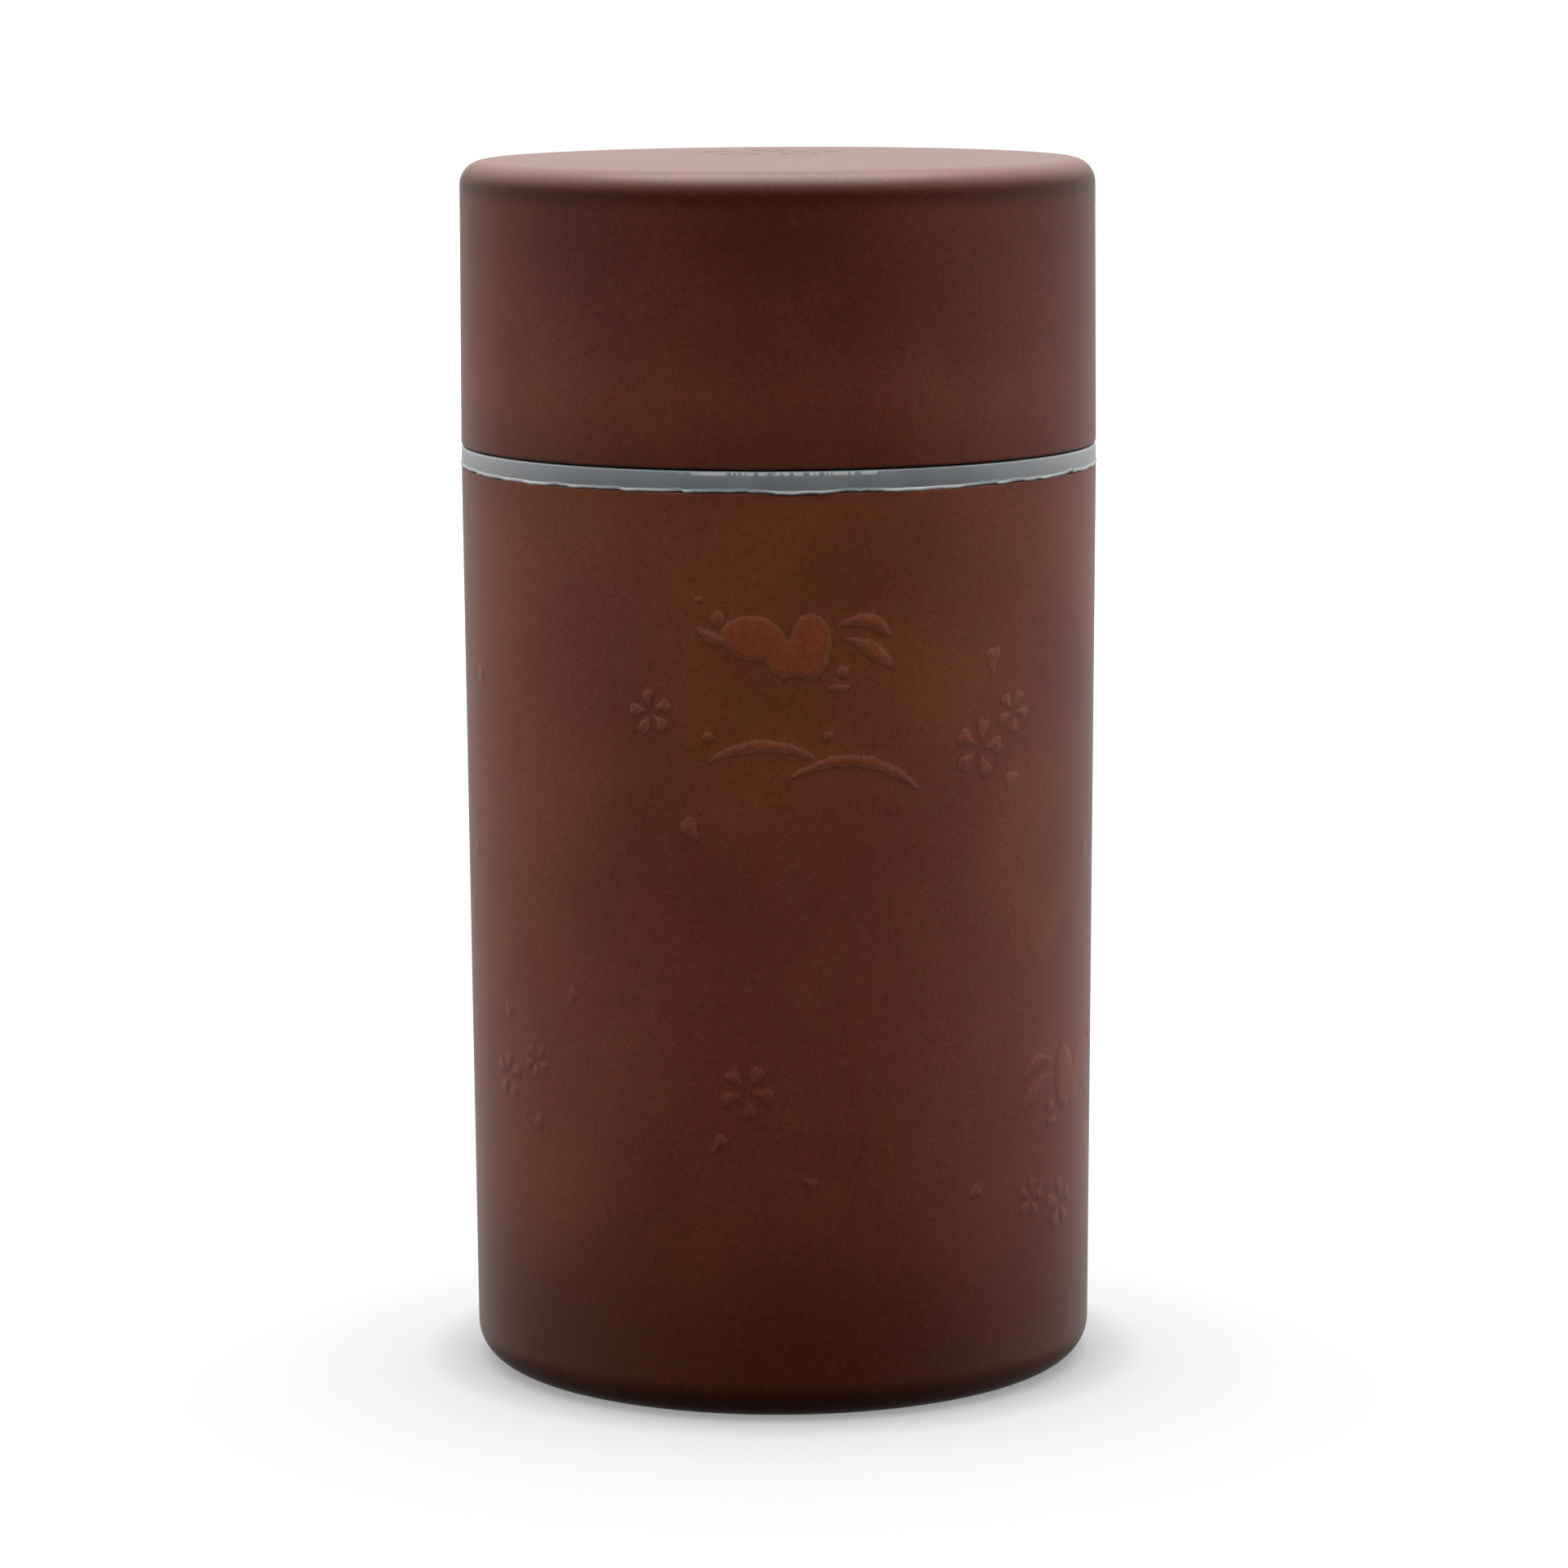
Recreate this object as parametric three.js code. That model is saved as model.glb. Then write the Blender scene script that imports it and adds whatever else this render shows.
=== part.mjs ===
// A straight tea caddy: a moulded outer body round a drawn inner can, a soft seal ring on the shoulder,
// a plug-in stopper with a screwed-on knob, and a tall slip-on cap with a drawn liner.
// Millimetres, +Z up, the origin at the middle of the base. Every piece is turned about the Z axis.
import * as THREE from "three";

// Outline of the closed caddy
const shoulderRadius = 40; // body and cap where they meet the seal ring
const bodyHeight = 114.5; // floor to shoulder
const capHeight = 35.4; // rim to top
const baseInset = 0.9; // how much narrower the body is at its base than at its shoulder
const capTopInset = 0.2; // how much narrower the cap is at its top than at its rim
const baseEdgeRadius = 4.5;
const capEdgeRadius = 3;
const rimEdgeRadius = 0.3; // broken edge on the shoulder and on the cap's rim

// Outer body
const shellWall = 2.4; // at the base, where the wall is thinnest
const shellFloor = 2.4;
const shellInnerCorner = 2;
const footWidth = 3.5; // flat ring that the caddy stands on
const footRecess = 0.8; // depth of the hollow inside that ring
const footChamfer = 0.4;

// Inner can, whose neck stands up inside the cap
const canWall = 0.8;
const canCorner = 3;
const canClearance = 0.3; // round the can, in the outer body
const beadWidth = 1.2; // bead that hangs the can in the shoulder's rebate
const beadHeight = 1.2;
const beadClearance = 0.2;
const neckRimRadius = 0.3;
const neckHeadroom = 7.7; // neck's rim to the liner's ceiling

// Seal ring
const bandHeight = 2.4; // the part that shows between body and cap
const bandChamfer = 0.35;
const sealClearance = 0.15; // ring to neck
const sleeveThickness = 0.9;
const sleeveRise = 3.4; // above the band
const sleeveChamfer = 0.2;
const lipCount = 2;
const lipHeight = 0.4; // how far each sealing lip stands out of the sleeve
const lipWidth = 0.8;
const lipClearance = 0.25; // lip to cap
const capLineGap = 0.3; // open line between the band and the cap's rim

// Cap and its liner
const capTop = 2.4;
const capInnerCorner = 2;
const stepClearance = 0.7; // seal sleeve to the step in the cap's bore
const linerWall = 0.8;
const linerCorner = 2.4;
const linerFit = 0.15; // round the liner, in the cap
const linerSeatGap = 0.2; // liner to the cap's ceiling
const slideClearance = 0.25; // liner to neck

// Stopper, its gasket, knob and screw
const flangeThickness = 1.4;
const flangeEdge = 0.4;
const plugDepth = 8; // below the neck's rim
const plugWall = 1.5;
const plugClearance = 0.35;
const plugCorner = 1.5;
const panelThickness = 1.6;
const grooveHeight = 2.4;
const grooveDepth = 0.7;
const gasketFit = 0.1; // gasket to the groove's floor
const gasketSideGap = 0.2; // gasket to each side of the groove
const gasketClearance = 0.12; // gasket to the can
const knobHeadroom = 3.1; // knob to the liner's ceiling
const knobFootRadius = 5;
const knobFootHeight = 1.6;
const knobWaistRadius = 3.4;
const knobHeadRadius = 6.5;
const knobHeadHeight = 3.2;
const screwRadius = 1.45;
const screwClearance = 0.2; // screw to knob and panel
const screwHeadRadius = 3.5;
const screwHeadHeight = 1.6;
const screwBite = 5; // length of screw in the knob
const screwTipGap = 0.8;

// Fineness of the turned faces
const roundSegments = 48;
const smallSegments = 24;
const cornerSteps = 4;

// Places that more than one piece uses
const baseRadius = shoulderRadius - baseInset;
const boreRadius = baseRadius - shellWall;
const floorZ = footRecess + shellFloor;
const canRadius = boreRadius - canClearance;
const canBore = canRadius - canWall;
const beadRadius = canRadius + beadWidth;
const sleeveBore = canRadius + sealClearance;
const sleeveRadius = sleeveBore + sleeveThickness;
const bandTop = bodyHeight + bandHeight;
const sleeveTop = bandTop + sleeveRise;
const capRim = bandTop + capLineGap;
const capTopZ = capRim + capHeight;
const capCeiling = capTopZ - capTop;
const capMouthRadius = sleeveRadius + lipHeight + lipClearance;
const capStepZ = sleeveTop + stepClearance;
const linerBore = canRadius + slideClearance;
const linerRadius = linerBore + linerWall;
const linerTop = capCeiling - linerSeatGap;
const linerCeiling = linerTop - linerWall;
const neckTop = linerCeiling - neckHeadroom;
const plugRadius = canBore - plugClearance;
const panelBottom = neckTop - plugDepth;
const panelTop = panelBottom + panelThickness;
const screwHoleRadius = screwRadius + screwClearance;
const grooveMiddle = neckTop - plugDepth / 2;
const knobTop = linerCeiling - knobHeadroom;

// Points of a quarter or shorter arc, from one angle to another in degrees, in the plane of a profile.
function arc(centreR, centreZ, radius, fromDeg, toDeg, steps = cornerSteps) {
  const points = [];
  for (let i = 0; i <= steps; i++) {
    const angle = THREE.MathUtils.degToRad(fromDeg + ((toDeg - fromDeg) * i) / steps);
    points.push([centreR + radius * Math.cos(angle), centreZ + radius * Math.sin(angle)]);
  }
  return points;
}

// A named mesh turned about the Z axis from [radius, height] points that run anticlockwise round the section.
function turned(name, profile, material, segments = roundSegments) {
  const points = profile.map(([r, z]) => new THREE.Vector2(Math.abs(r) < 1e-9 ? 0 : r, z));
  const geometry = new THREE.LatheGeometry(points, segments);
  geometry.rotateX(Math.PI / 2);
  const mesh = new THREE.Mesh(geometry, material);
  mesh.name = name;
  return mesh;
}

// Closes a ring-shaped section on itself.
function closed(profile) {
  return [...profile, profile[0]];
}

const lacquer = new THREE.MeshStandardMaterial({ color: 0x552e24, roughness: 0.45, metalness: 0 });
const drawnMetal = new THREE.MeshStandardMaterial({ color: 0xb9bbbd, roughness: 0.35, metalness: 1 });
const softSeal = new THREE.MeshStandardMaterial({ color: 0x8c9296, roughness: 0.4, metalness: 0 });
const milkyPlastic = new THREE.MeshStandardMaterial({ color: 0xd9dad6, roughness: 0.45, metalness: 0 });
const steel = new THREE.MeshStandardMaterial({ color: 0xc4c6c8, roughness: 0.25, metalness: 1 });

// Outer body: a cup with a rounded base edge, a hollow foot and a rebate for the can's bead.
function bodyShell() {
  const recessRadius = baseRadius - baseEdgeRadius - footWidth;
  const rebateRadius = beadRadius + beadClearance;
  const rebateZ = bodyHeight - beadHeight;
  return turned(
    "body_shell",
    [
      [0, footRecess],
      [recessRadius - footChamfer, footRecess],
      [recessRadius, 0],
      ...arc(baseRadius - baseEdgeRadius, baseEdgeRadius, baseEdgeRadius, -90, 0),
      ...arc(shoulderRadius - rimEdgeRadius, bodyHeight - rimEdgeRadius, rimEdgeRadius, 0, 90, 2),
      [rebateRadius, bodyHeight],
      [rebateRadius, rebateZ],
      [boreRadius, rebateZ],
      ...arc(boreRadius - shellInnerCorner, floorZ + shellInnerCorner, shellInnerCorner, 0, -90, 3),
      [0, floorZ],
    ],
    lacquer,
  );
}

// Inner can: a thin drawn cup that stands on the body's floor and rises past the shoulder as the neck.
function innerCan() {
  const innerCorner = canCorner - canWall;
  const beadBottom = bodyHeight - beadHeight;
  return turned(
    "inner_can",
    [
      [0, floorZ],
      ...arc(canRadius - canCorner, floorZ + canCorner, canCorner, -90, 0, 4),
      [canRadius, beadBottom],
      [beadRadius, beadBottom],
      [beadRadius, bodyHeight],
      [canRadius, bodyHeight],
      ...arc(canRadius - neckRimRadius, neckTop - neckRimRadius, neckRimRadius, 0, 90, 2),
      ...arc(canBore + neckRimRadius, neckTop - neckRimRadius, neckRimRadius, 90, 180, 2),
      ...arc(canBore - innerCorner, floorZ + canWall + innerCorner, innerCorner, 0, -90, 4),
      [0, floorZ + canWall],
    ],
    drawnMetal,
  );
}

// Seal ring: the band that shows, and a lipped sleeve that the cap slides over.
function sealRing() {
  const lips = [];
  for (let i = 0; i < lipCount; i++) {
    const middle = bandTop + (sleeveRise * (i + 1)) / (lipCount + 1);
    lips.push([sleeveRadius, middle - lipWidth / 2]);
    lips.push([sleeveRadius + lipHeight, middle]);
    lips.push([sleeveRadius, middle + lipWidth / 2]);
  }
  return turned(
    "seal_ring",
    closed([
      [sleeveBore, bodyHeight],
      [shoulderRadius - bandChamfer, bodyHeight],
      [shoulderRadius, bodyHeight + bandChamfer],
      [shoulderRadius, bandTop - bandChamfer],
      [shoulderRadius - bandChamfer, bandTop],
      [sleeveRadius, bandTop],
      ...lips,
      [sleeveRadius, sleeveTop - sleeveChamfer],
      [sleeveRadius - sleeveChamfer, sleeveTop],
      [sleeveBore, sleeveTop],
    ]),
    softSeal,
  );
}

// Cap: a cup upside down, with a wider mouth that passes over the seal ring's lips.
function capShell() {
  const upperBore = linerRadius + linerFit;
  const topRadius = shoulderRadius - capTopInset;
  return turned(
    "cap_shell",
    [
      [0, capCeiling],
      ...arc(upperBore - capInnerCorner, capCeiling - capInnerCorner, capInnerCorner, 90, 0, 3),
      [upperBore, capStepZ],
      [capMouthRadius, capStepZ],
      [capMouthRadius, capRim],
      ...arc(shoulderRadius - rimEdgeRadius, capRim + rimEdgeRadius, rimEdgeRadius, -90, 0, 2),
      ...arc(topRadius - capEdgeRadius, capTopZ - capEdgeRadius, capEdgeRadius, 0, 90),
      [0, capTopZ],
    ],
    lacquer,
  );
}

// Cap liner: a thin drawn cup that slides on the neck.
function capLiner() {
  const innerCorner = linerCorner - linerWall;
  return turned(
    "cap_liner",
    [
      [0, linerCeiling],
      ...arc(linerBore - innerCorner, linerCeiling - innerCorner, innerCorner, 90, 0, 3),
      [linerBore, capStepZ],
      [linerRadius, capStepZ],
      ...arc(linerRadius - linerCorner, linerTop - linerCorner, linerCorner, 0, 90, 3),
      [0, linerTop],
    ],
    drawnMetal,
  );
}

// Stopper: a flange on the neck's rim and a dished plug with a gasket groove round it.
function stopper() {
  const grooveRadius = plugRadius - grooveDepth;
  const dishRadius = plugRadius - plugWall;
  const flangeTop = neckTop + flangeThickness;
  return turned(
    "stopper",
    closed([
      [screwHoleRadius, panelBottom],
      ...arc(plugRadius - plugCorner, panelBottom + plugCorner, plugCorner, -90, 0, 3),
      [plugRadius, grooveMiddle - grooveHeight / 2],
      [grooveRadius, grooveMiddle - grooveHeight / 2],
      [grooveRadius, grooveMiddle + grooveHeight / 2],
      [plugRadius, grooveMiddle + grooveHeight / 2],
      [plugRadius, neckTop],
      [canRadius, neckTop],
      [canRadius, flangeTop - flangeEdge],
      [canRadius - flangeEdge, flangeTop],
      [dishRadius, flangeTop],
      ...arc(dishRadius - plugCorner, panelTop + plugCorner, plugCorner, 0, -90, 3),
      [screwHoleRadius, panelTop],
    ]),
    milkyPlastic,
  );
}

// Gasket: a soft ring with a rounded outside, in the plug's groove.
function stopperGasket() {
  const innerRadius = plugRadius - grooveDepth + gasketFit;
  const outerRadius = canBore - gasketClearance;
  const halfHeight = grooveHeight / 2 - gasketSideGap;
  return turned(
    "stopper_gasket",
    closed([
      [innerRadius, grooveMiddle - halfHeight],
      [plugRadius, grooveMiddle - halfHeight],
      [outerRadius, grooveMiddle],
      [plugRadius, grooveMiddle + halfHeight],
      [innerRadius, grooveMiddle + halfHeight],
    ]),
    softSeal,
  );
}

// Knob: a foot on the panel, a waist to hold and a rounded head, with a blind hole for the screw.
function stopperKnob() {
  const headBottom = knobTop - knobHeadHeight;
  const holeTop = panelTop + screwBite + screwTipGap;
  const headEdge = knobHeadHeight / 2;
  return turned(
    "stopper_knob",
    [
      [0, holeTop],
      [screwHoleRadius, holeTop],
      [screwHoleRadius, panelTop],
      [knobFootRadius, panelTop],
      [knobFootRadius, panelTop + knobFootHeight / 2],
      [knobWaistRadius, panelTop + knobFootHeight],
      [knobWaistRadius, headBottom],
      ...arc(knobHeadRadius - headEdge, headBottom + headEdge, headEdge, -90, 90, 6),
      [0, knobTop],
    ],
    lacquer,
    smallSegments,
  );
}

// Screw: a low head under the panel and a plain shank up into the knob.
function knobScrew() {
  const headBottom = panelBottom - screwHeadHeight;
  return turned(
    "knob_screw",
    [
      [0, headBottom],
      [screwHeadRadius - screwHeadHeight / 2, headBottom],
      [screwHeadRadius, headBottom + screwHeadHeight / 2],
      [screwHeadRadius, panelBottom],
      [screwRadius, panelBottom],
      [screwRadius, panelTop + screwBite - screwRadius / 2],
      [screwRadius / 2, panelTop + screwBite],
      [0, panelTop + screwBite],
    ],
    steel,
    smallSegments,
  );
}

const body = new THREE.Group();
body.add(bodyShell(), innerCan(), sealRing());

const plug = new THREE.Group();
plug.add(stopper(), stopperGasket(), stopperKnob(), knobScrew());

const cap = new THREE.Group();
cap.add(capShell(), capLiner());

const caddy = new THREE.Group();
caddy.add(body, plug, cap);

export default caddy;
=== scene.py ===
import math
import random

import bmesh
import bpy
import numpy as np
from mathutils import Matrix, Vector


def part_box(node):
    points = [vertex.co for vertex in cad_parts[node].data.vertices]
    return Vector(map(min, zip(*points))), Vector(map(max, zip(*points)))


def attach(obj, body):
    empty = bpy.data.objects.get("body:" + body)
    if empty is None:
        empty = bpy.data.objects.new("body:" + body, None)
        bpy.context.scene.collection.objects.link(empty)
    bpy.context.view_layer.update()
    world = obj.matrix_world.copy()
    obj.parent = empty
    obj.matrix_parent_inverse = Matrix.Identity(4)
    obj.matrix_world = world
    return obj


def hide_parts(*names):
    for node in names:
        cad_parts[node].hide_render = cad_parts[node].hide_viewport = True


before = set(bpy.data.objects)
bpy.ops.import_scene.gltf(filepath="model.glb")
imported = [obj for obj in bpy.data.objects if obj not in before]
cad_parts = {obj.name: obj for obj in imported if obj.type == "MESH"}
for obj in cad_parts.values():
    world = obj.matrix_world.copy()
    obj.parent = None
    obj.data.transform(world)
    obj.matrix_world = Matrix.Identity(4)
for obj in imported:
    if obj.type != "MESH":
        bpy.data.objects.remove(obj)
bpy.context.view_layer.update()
mm = 0.001
print("frame loaded:", ", ".join(sorted(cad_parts)))


# camera, floor and light

cameraSettings = {
    "lens": 133.3,
    "distance": 731.2,  # mm, from the caddy's axis
    "height": 182.6,  # mm, above the floor
    "pitch": 8.50,  # degrees, down
    "yaw": 0.035,  # degrees, to the right
    "roll": -0.29,  # degrees
    "sensorWidth": 36,
    "clip": (0.05, 20),  # metres, nearest and farthest
}


def makeCamera():
    sizes = cameraSettings
    view = bpy.data.cameras.new("frontView")
    view.lens = sizes["lens"]
    view.sensor_width = sizes["sensorWidth"]
    view.clip_start, view.clip_end = sizes["clip"]
    camera = bpy.data.objects.new("frontView", view)
    bpy.context.scene.collection.objects.link(camera)
    turn = Matrix.Rotation(math.radians(-sizes["yaw"]), 4, "Z")
    tip = Matrix.Rotation(math.radians(90 - sizes["pitch"]), 4, "X")
    roll = Matrix.Rotation(math.radians(sizes["roll"]), 4, "Z")
    place = Matrix.Translation((0, -sizes["distance"] * mm, sizes["height"] * mm))
    camera.matrix_world = place @ turn @ tip @ roll
    bpy.context.scene.camera = camera


stageSettings = {
    "sides": 96,  # of the floor and the backdrop
    "floorRadius": 3.0,
    "wallHeight": 3.0,
    "floorShade": 0.16,
    "glowReach": 1500,  # mm, from the axis to the last of the glow stops
    # they keep the floor pale away from the foot, and their low glow right by the foot is a painted
    # contact shadow
    "glowAndShadowStops": [(0.0253, 0.28), (0.0293, 0.62), (0.045, 0.68), (0.8, 1.0)],
    "topLight": {"place": (0.0, 0.0, 0.95), "aim": (0.0, 0.0, 0.08), "size": (0.9, 0.9), "power": 4.8},
}

# the sky's strength: low, high in front and high behind
# the turn stops run from front to back, and the rise stops from straight down to straight up
skySettings = {
    "lowTurn": [
        (0.0, 0.0), (0.12, 0.02), (0.41, 0.26), (0.67, 0.31), (0.86, 0.42), (0.97, 0.54), (1.0, 0.88),
    ],
    "lowRise": [(0.0, 0.18), (0.30, 0.35), (0.37, 1.1), (0.44, 1.0), (0.60, 1.0), (0.75, 0.3)],
    "frontRise": [(0.63, 0.0), (0.70, 0.3), (0.78, 0.9), (0.88, 1.5), (0.95, 2.5), (1.0, 3.0)],
    "frontTurn": [(0.0, 0.25), (0.2, 0.50), (0.4, 0.85), (0.5, 1.4), (0.8, 1.8), (1.0, 0.9)],
    "backRise": [(0.58, 0.0), (0.75, 1.4), (1.0, 2.9)],
    "backShare": [(0.6, 0.0), (0.9, 1.0)],
    "lean": 0.12,  # how much brighter the right side is
}


def softBox(name, sizes):
    light = bpy.data.lights.new(name, "AREA")
    light.shape = "RECTANGLE"
    light.size, light.size_y = sizes["size"]
    light.energy = sizes["power"]
    box = bpy.data.objects.new(name, light)
    bpy.context.scene.collection.objects.link(box)
    box.location = sizes["place"]
    beam = Vector(sizes["aim"]) - Vector(sizes["place"])
    box.rotation_euler = beam.to_track_quat("-Z", "Y").to_euler()


def seenByCameraOnly(piece):
    piece.visible_diffuse = False
    piece.visible_glossy = False
    piece.visible_transmission = False
    piece.visible_shadow = False


def makeFloor():
    sizes = stageSettings
    bpy.ops.mesh.primitive_circle_add(
        vertices=sizes["sides"], radius=sizes["floorRadius"], fill_type="NGON"
    )
    floor = bpy.context.object
    floor.name = "floor"
    paper = Finish("paperFloor")
    shade = sizes["floorShade"]
    away = paper.gap(paper.place(), (0, 0, 0)) / sizes["glowReach"]
    paper.surface({
        "Base Color": (shade, shade, shade, 1),
        "Roughness": 0.9,
        "Specular IOR Level": 0.1,
        "Emission Color": paper.ramp(away, sizes["glowAndShadowStops"]),
        "Emission Strength": 1.0,
    })
    floor.data.materials.append(paper.material)
    seenByCameraOnly(floor)
    return floor


def makeBackdrop():
    sizes = stageSettings
    bpy.ops.mesh.primitive_cylinder_add(
        vertices=sizes["sides"], radius=sizes["floorRadius"], depth=2 * sizes["wallHeight"],
        end_fill_type="NGON",
    )
    wall = bpy.context.object
    wall.name = "backdrop"
    glow = Finish("backdropGlow")
    glow.finish(glow.add("ShaderNodeEmission", {}, {"Color": (1, 1, 1, 1), "Strength": 1.0}))
    wall.data.materials.append(glow.material)
    seenByCameraOnly(wall)
    return wall


def makeSky():
    sizes = skySettings
    world = bpy.data.worlds.new("studio")
    bpy.context.scene.world = world
    world.use_nodes = True
    sky = Finish("sky", world.node_tree)
    direction = sky.add("ShaderNodeTexCoord", {}, {}, "Generated")
    across, ahead, up = sky.split(direction)
    turn = (ahead + 1) / 2
    rise = (up + 1) / 2
    low = sky.ramp(turn, sizes["lowTurn"], "LINEAR") * sky.ramp(rise, sizes["lowRise"], "LINEAR")
    front = sky.ramp(rise, sizes["frontRise"], "LINEAR") * sky.ramp(turn, sizes["frontTurn"], "LINEAR")
    back = sky.ramp(rise, sizes["backRise"], "LINEAR")
    high = sky.mixValue(sky.ramp(turn, sizes["backShare"]), front, back)
    light = low * (across * sizes["lean"] + 1) + high
    sky.finish(sky.add("ShaderNodeBackground", {}, {"Color": (1, 1, 1, 1), "Strength": light}))


def makeStage():
    makeFloor()
    makeBackdrop()
    softBox("topLight", stageSettings["topLight"])
    makeSky()
    bpy.context.scene.view_settings.view_transform = "Standard"


# shader maths

class Wire:  # a node's output; sums and products on it add their Math nodes
    def __init__(self, tree, socket):
        self.tree = tree
        self.socket = socket

    def maths(self, operation, first, second):
        node = self.tree.nodes.new("ShaderNodeMath")
        node.operation = operation
        plugIn(self.tree, node.inputs[0], first)
        plugIn(self.tree, node.inputs[1], second)
        return Wire(self.tree, node.outputs[0])

    def __add__(self, other):
        return self.maths("ADD", self, other)

    def __radd__(self, other):
        return self.maths("ADD", other, self)

    def __sub__(self, other):
        return self.maths("SUBTRACT", self, other)

    def __rsub__(self, other):
        return self.maths("SUBTRACT", other, self)

    def __mul__(self, other):
        return self.maths("MULTIPLY", self, other)

    def __truediv__(self, other):
        return self.maths("DIVIDE", self, other)

    def __pow__(self, other):
        return self.maths("POWER", self, other)


def plugIn(tree, socket, value):
    if isinstance(value, Wire):
        tree.links.new(value.socket, socket)
    elif value is not None:
        socket.default_value = value


class Finish:  # one material's nodes, or the world's
    def __init__(self, name, tree=None):
        self.material = None
        if tree is None:
            self.material = bpy.data.materials.new(name)
            self.material.use_nodes = True
            tree = self.material.node_tree
        self.tree = tree
        tree.nodes.clear()
        kind = "ShaderNodeOutputMaterial" if self.material else "ShaderNodeOutputWorld"
        self.output = tree.nodes.new(kind)

    def add(self, kind, settings, sockets, outputs=0):
        node = self.tree.nodes.new(kind)
        for key, value in settings.items():
            if key == "stops":
                self.setStops(node.color_ramp, value)
            else:
                setattr(node, key, value)
        for key, value in sockets.items():
            plugIn(self.tree, node.inputs[key], value)
        if isinstance(outputs, tuple):
            return [Wire(self.tree, node.outputs[name]) for name in outputs]
        return Wire(self.tree, node.outputs[outputs])

    def setStops(self, ramp, stops):
        while len(ramp.elements) < len(stops):
            ramp.elements.new(0.5)
        for element, (place, value) in zip(ramp.elements, stops):
            element.position = place
            element.color = value if isinstance(value, tuple) else (value, value, value, 1)

    def ramp(self, factor, stops, interpolation="EASE"):
        node = self.add("ShaderNodeValToRGB", {"stops": stops}, {"Fac": factor})
        node.socket.node.color_ramp.interpolation = interpolation
        return node

    def mix(self, factor, first, second, blend="MIX"):
        settings = {"data_type": "RGBA", "blend_type": blend}
        return self.add("ShaderNodeMix", settings, {0: factor, 6: first, 7: second}, 2)

    def mixValue(self, factor, first, second):
        return self.add("ShaderNodeMix", {"data_type": "FLOAT"}, {0: factor, 2: first, 3: second}, 0)

    def largest(self, first, second):
        return self.add("ShaderNodeMath", {"operation": "MAXIMUM"}, {0: first, 1: second})

    def place(self):  # the piece's own coordinates, in millimetres
        here = self.add("ShaderNodeTexCoord", {}, {}, "Object")
        return self.add("ShaderNodeVectorMath", {"operation": "SCALE"}, {0: here, 3: 1 / mm})

    def stretched(self, place, scale=(1, 1, 1), offset=(0, 0, 0)):
        return self.add("ShaderNodeMapping", {}, {"Vector": place, "Scale": scale, "Location": offset})

    def split(self, vector):
        return self.add("ShaderNodeSeparateXYZ", {}, {"Vector": vector}, ("X", "Y", "Z"))

    def noise(self, place, scale, detail=2.0, roughness=0.5, output="Fac"):
        sockets = {"Vector": place, "Scale": scale, "Detail": detail, "Roughness": roughness}
        return self.add("ShaderNodeTexNoise", {}, sockets, output)

    def gap(self, first, second):
        return self.add("ShaderNodeVectorMath", {"operation": "DISTANCE"}, {0: first, 1: second}, "Value")

    def spot(self, place, centre, radius, core=0.0):  # 1 at centre, fading to 0 at radius, in millimetres
        return self.ramp(self.gap(place, centre) / radius, [(core, 1.0), (1.0, 0.0)])

    def bump(self, height, strength, distance, normal=None):
        sockets = {"Height": height, "Strength": strength, "Distance": distance * mm, "Normal": normal}
        return self.add("ShaderNodeBump", {}, sockets)

    def surface(self, sockets):
        shader = self.add("ShaderNodeBsdfPrincipled", {}, sockets)
        self.finish(shader)

    def finish(self, shader):
        self.tree.links.new(shader.socket, self.output.inputs["Surface"])


# finishes

coatSettings = {
    "purple": (0.256, 0.066, 0.0385, 1),
    "olive": (0.318, 0.096, 0.034, 1),
    # the darkest tone, used for dark patches and for painted shade
    "darkAndShade": (0.075, 0.0155, 0.0038, 1),
    "red": (0.312, 0.065, 0.031, 1),
    "plum": (0.246, 0.061, 0.043, 1),
    "rim": (0.490, 0.230, 0.165, 1),  # painted highlight along the edges of the raised shapes
    "glow": (0.445, 0.090, 0.034, 1),  # inside them
    "roughness": 0.34,
    "drift": 14.0,  # mm, how far the edges of the spots wander
    # each spot has its centre and its radius, in mm, and the dark ones a strength too
    "oliveSpots": [((4, -40, 104), 19), ((24, -32, 98), 20), ((32, -24, 70), 15), ((-38, -12, 60), 15)],
    "plumSpots": [((-23, -33, 94), 16), ((35, -20, 92), 13), ((-22, -33, 139), 17), ((-12, -38, 58), 20)],
    # the spot at the foot's front is painted shade from the floor; the two on the cap's front are darker
    # patches that also carry painted shade
    "patchAndShadeSpots": [((0, -40, 148), 22, 0.6), ((9, -39, 138), 15, 0.35), ((0, -40, 0), 36, 0.4)],
    "oliveShare": 0.75,
    "plumShare": 0.8,
    "redShare": 0.35,
    "patchRed": 0.30,
    "patchOlive": 0.28,
    "darkShare": 0.3,
    "grainShare": 0.20,
    "speckShare": 0.30,
    "endSpeck": 0.7,  # how much of the specks goes where the painted end shade darkens the coat
    "wideRough": 0.10,
    "grainRough": 0.06,
    "fullHeight": 160,  # mm, where the next two ramps end
    # painted shade: the coat darkens towards the foot, standing in for the floor's shade, and round the
    # cap's top edge and top, where it damps their lit look
    "paintedEndShade": [
        (0.03, 0.72), (0.20, 0.16), (0.30, 0.0), (0.76, 0.0),
        (0.84, 0.24), (0.92, 0.42), (0.937, 0.88), (0.953, 0.74),
    ],
    "heightFade": [(0.36, 0.45), (0.47, 1.0)],  # the fill colour and the painted rim highlight fade out on the lower shapes
}


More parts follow.
